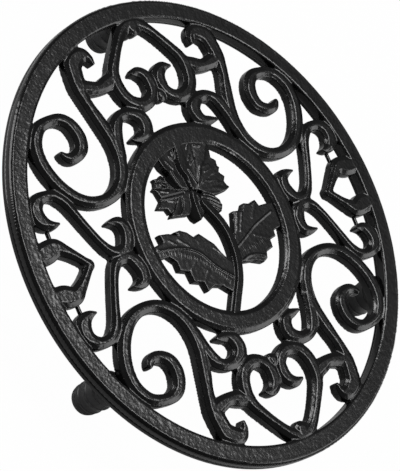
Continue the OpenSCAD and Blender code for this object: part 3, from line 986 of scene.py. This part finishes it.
def cast_iron(name, grain_share):
    """Satin black coat over a fine pebbled cast surface, smoother on slopes and side walls."""
    material = bpy.data.materials.new(name)
    nodes, links, shader = node_tree(material)
    where = nodes.new("ShaderNodeTexCoord")
    spot = where.outputs["Object"]
    split = nodes.new("ShaderNodeSeparateXYZ")
    links.new(where.outputs["Normal"], split.inputs["Vector"])
    stops = [(at, (value, value, value)) for at, value in LEVEL_STOPS]
    level = ramp(nodes, links, split.outputs["Z"], stops)
    upward = maths(nodes, links, "MULTIPLY", level, grain_share)
    pebble = nodes.new("ShaderNodeTexVoronoi")
    pebble.feature = "SMOOTH_F1"
    pebble.inputs["Scale"].default_value = per_size(PEBBLE_W)
    pebble.inputs["Smoothness"].default_value = PEBBLE_SMOOTHNESS
    links.new(spot, pebble.inputs["Vector"])
    grain = noise(nodes, links, spot, GRAIN_W, 2)
    lumps = noise(nodes, links, spot, LUMP_W, 2)
    pebble_part = maths(nodes, links, "MULTIPLY", pebble.outputs["Distance"], PEBBLE_SHARE)
    grain_part = maths(nodes, links, "MULTIPLY", grain, GRAIN_SHARE)
    lump_part = maths(nodes, links, "MULTIPLY", lumps, LUMP_SHARE)
    height = maths(nodes, links, "ADD", maths(nodes, links, "ADD", pebble_part, grain_part), lump_part)
    bump(nodes, links, shader, height, IRON_BUMP_H, upward)
    cloud = noise(nodes, links, spot, CLOUD_W, 4)
    colour = ramp(nodes, links, cloud, list(zip((0.3, 0.7), IRON_COLOURS)))
    links.new(colour, shader.inputs["Base Color"])
    uneven = span(nodes, links, grain, 0.3, 0.7, *IRON_ROUGHNESS)
    duller = maths(nodes, links, "MULTIPLY", level, FLAT_ROUGHNESS)
    links.new(maths(nodes, links, "ADD", uneven, duller), shader.inputs["Roughness"])
    shader.inputs["Specular IOR Level"].default_value = IRON_SPECULAR
    return material


def black_rubber():
    """Smooth moulded rubber with a soft shine and faint moulding marks."""
    material = bpy.data.materials.new("moulded_black_rubber")
    nodes, links, shader = node_tree(material)
    spot = nodes.new("ShaderNodeTexCoord").outputs["Object"]
    marks = noise(nodes, links, spot, RUBBER_MARK_W, 3)
    dust = noise(nodes, links, spot, RUBBER_DUST_W, 4, 0.65)
    bump(nodes, links, shader, marks, RUBBER_BUMP_H, RUBBER_BUMP_STRENGTH)
    colour = ramp(nodes, links, dust, list(zip((0.35, 0.75), RUBBER_COLOURS)))
    links.new(colour, shader.inputs["Base Color"])
    links.new(span(nodes, links, dust, 0.3, 0.7, *RUBBER_ROUGHNESS), shader.inputs["Roughness"])
    return material


def pale_floor():
    """Matt paper that the camera sees almost pure white, while lamps and reflections find it greyer."""
    material = bpy.data.materials.new("white_paper")
    nodes, links, shader = node_tree(material)
    shader.inputs["Base Color"].default_value = (FLOOR_GREY, FLOOR_GREY, FLOOR_GREY, 1)
    shader.inputs["Roughness"].default_value = FLOOR_ROUGHNESS
    glow = nodes.new("ShaderNodeEmission")
    glow.inputs["Color"].default_value = (1, 1, 1, 1)
    mix = nodes.new("ShaderNodeMixShader")
    path = nodes.new("ShaderNodeLightPath")
    seen = maths(nodes, links, "MULTIPLY", path.outputs["Is Camera Ray"], FLOOR_SEEN)
    mirrored = maths(nodes, links, "MULTIPLY", path.outputs["Is Glossy Ray"], FLOOR_MIRRORED)
    share = maths(nodes, links, "ADD", seen, mirrored)
    output = next(n for n in nodes if n.type == "OUTPUT_MATERIAL")
    links.new(share, mix.inputs["Fac"])
    links.new(shader.outputs["BSDF"], mix.inputs[1])
    links.new(glow.outputs["Emission"], mix.inputs[2])
    links.new(mix.outputs["Shader"], output.inputs["Surface"])
    return material


def direction(azimuth, elevation):
    """The way from the trivet to a spot at an azimuth and an elevation, in radians."""
    level = math.cos(elevation)
    return Vector((math.cos(azimuth) * level, math.sin(azimuth) * level, math.sin(elevation)))


def area_light(name, azimuth, elevation, distance, size, power):
    """A soft rectangular lamp at an azimuth and an elevation in degrees, turned to the trivet."""
    data = bpy.data.lights.new(name, "AREA")
    data.shape = "RECTANGLE"
    data.size, data.size_y = size
    data.energy = power
    lamp = bpy.data.objects.new(name, data)
    aim = Vector(LAMP_AIM)
    lamp.location = direction(math.radians(azimuth), math.radians(elevation)) * distance + aim
    lamp.rotation_euler = (aim - lamp.location).to_track_quat("-Z", "Y").to_euler()
    bpy.context.scene.collection.objects.link(lamp)


def camera():
    """The photograph's view: from the left and above, rolled, with the plate lying flat."""
    edge_r = (PLATE_R - VIEW_EDGE_W) * MM
    azimuth, elevation, roll = (math.radians(v) for v in VIEW_ANGLES)
    x, y, z = (share * edge_r for share in VIEW_SPOT_SHARES)
    spot = Vector((x, y, REST_Z * MM + z))
    out = direction(azimuth, elevation)
    level_right = (-out).cross(Vector((0, 0, 1))).normalized()
    level_up = level_right.cross(-out)
    right = level_right * math.cos(roll) + level_up * math.sin(roll)
    up = out.cross(right)
    data = bpy.data.cameras.new("camera")
    data.lens = LENS
    data.sensor_width = SENSOR_W
    data.clip_end = CLIP_END
    thing = bpy.data.objects.new("camera", data)
    place = Matrix.Translation(spot + out * VIEW_DISTANCE_SHARE * edge_r)
    thing.matrix_world = place @ Matrix((right, up, out)).transposed().to_4x4()
    bpy.context.scene.collection.objects.link(thing)
    bpy.context.scene.camera = thing


def studio():
    """The floor, an even white world that gives little light, and the lamps."""
    scene = bpy.context.scene
    scene.view_settings.view_transform = "Standard"
    mesh = bpy.data.meshes.new("floor")
    half = FLOOR_HALF
    corners = [(-half, -half, 0), (half, -half, 0), (half, half, 0), (-half, half, 0)]
    mesh.from_pydata(corners, [], [(0, 1, 2, 3)])
    floor = bpy.data.objects.new("floor", mesh)
    floor.data.materials.append(pale_floor())
    scene.collection.objects.link(floor)
    world = bpy.data.worlds.new("studio")
    scene.world = world
    world.use_nodes = True
    nodes, links = world.node_tree.nodes, world.node_tree.links
    nodes.clear()
    output = nodes.new("ShaderNodeOutputWorld")
    glow = nodes.new("ShaderNodeBackground")
    glow.inputs["Color"].default_value = (1, 1, 1, 1)
    seen = nodes.new("ShaderNodeLightPath").outputs["Is Camera Ray"]
    links.new(span(nodes, links, seen, 0, 1, WORLD_LIGHT, 1), glow.inputs["Strength"])
    links.new(glow.outputs["Background"], output.inputs["Surface"])
    for name, row in lamps.items():
        area_light(name, *row)


rough_iron = cast_iron("satin_black_cast_iron", 1.0)
smooth_iron = cast_iron("satin_black_fine_iron", 0.6)
rubber = black_rubber()

flower_piece = flower()
plate_piece = scroll_plate()
for piece, iron in ((plate_piece, rough_iron), (flower_piece, smooth_iron)):
    piece.data.materials.append(iron)
    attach(piece, "root")
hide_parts("iron_trivet")

for number, (leg_x, leg_y) in enumerate(list(leg_places()), 1):
    cap = foot_cap(f"rubber_cap_{number}", leg_x, leg_y)
    cap.data.materials.append(rubber)
    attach(cap, "root")
    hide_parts(f"foot_cap_{number}")

studio()
camera()
